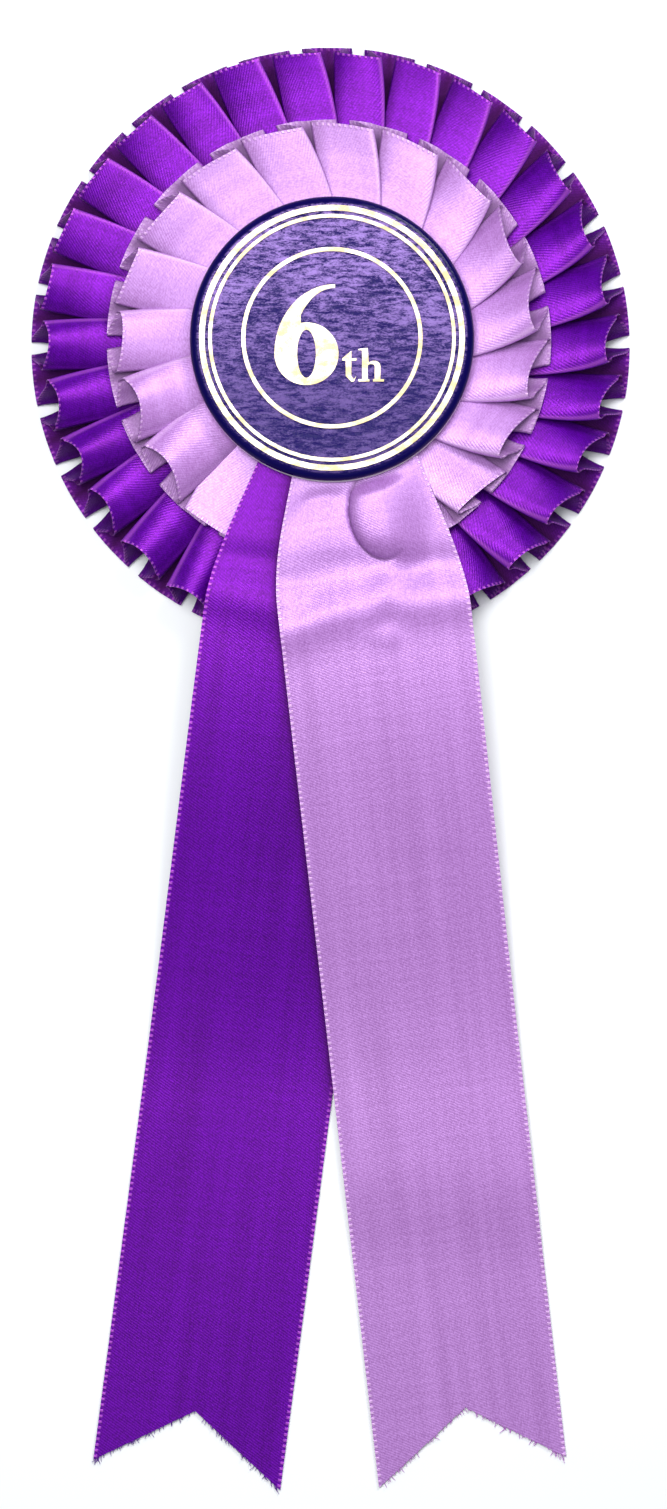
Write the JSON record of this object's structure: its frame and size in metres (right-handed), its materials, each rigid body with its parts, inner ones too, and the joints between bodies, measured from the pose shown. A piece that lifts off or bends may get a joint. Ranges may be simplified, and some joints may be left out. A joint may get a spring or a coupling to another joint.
{
  "type": "award ribbon",
  "caption": "Rosette award ribbon: outer and inner tiers of box-pleated satin, a foil-stamped centre button, dovetailed tails that lift, and a safety pin on the back.",
  "frame": {"origin": "bottom centre of the whole object's box, on the surface that the rosette's back and its tails lie on; the button's centre is 84 mm from it towards +Y", "axes": "+Z out of the front, up as it lies on its back; +Y from the tails' tips to the rosette, up as it hangs; +X to the viewer's right"},
  "size_m": [0.1204, 0.2889, 0.0169],
  "materials": {
    "purple_satin": "satin weave, sheen",
    "lilac_satin": "satin weave, sheen",
    "white_card": "matt uncoated card",
    "glossy_card": "gloss laminated card, navy to violet",
    "gold_foil": "hot-stamped pale gold foil",
    "pin_steel": "nickel-plated steel",
    "staple_steel": "galvanised wire",
    "sewing_thread": "matt thread",
    "pad_foam": "matt foam",
    "cloth_tape": "matt woven tape"
  },
  "bodies": {
    "rosette": {"backing_card": "white_card", "pin_patch": "cloth_tape", "pin_spine": "pin_steel", "pin_cap": "pin_steel", "outer_card": "white_card", "outer_ribbon": "purple_satin", "outer_stitching": "sewing_thread", "inner_card": "white_card", "inner_ribbon": "lilac_satin", "inner_stitching": "sewing_thread", "tail_purple_root": "purple_satin", "tail_lilac_root": "lilac_satin", "tail_staple_upper": "staple_steel", "tail_staple_lower": "staple_steel", "centre_pad": "pad_foam", "centre_board": "white_card", "centre_face": "glossy_card", "foil_ring_outer": "gold_foil", "foil_ring_middle": "gold_foil", "foil_ring_inner": "gold_foil", "foil_numeral": "gold_foil", "foil_letter_t": "gold_foil", "foil_letter_h": "gold_foil"},
    "pin_arm": {"pin_arm": "pin_steel"},
    "tail_purple": {"tail_purple": "purple_satin"},
    "tail_lilac": {"tail_lilac": "lilac_satin"}
  },
  "joints": [
    {"name": "pin_arm_hinge", "type": "hinge", "parent": "rosette", "child": "pin_arm", "pos_m": [-0.018, 0.09412, 0.00235], "axis": [0, 0, 1], "range_deg": [0, 60]},
    {"name": "tail_purple_lift", "type": "hinge", "parent": "rosette", "child": "tail_purple", "pos_m": [0, 0.05012, 0.0123], "axis": [-1, 0, 0], "range_deg": [0, 85]},
    {"name": "tail_lilac_lift", "type": "hinge", "parent": "tail_purple", "child": "tail_lilac", "pos_m": [0, 0.05012, 0.0123], "axis": [-1, 0, 0], "range_deg": [0, 50]}
  ]
}
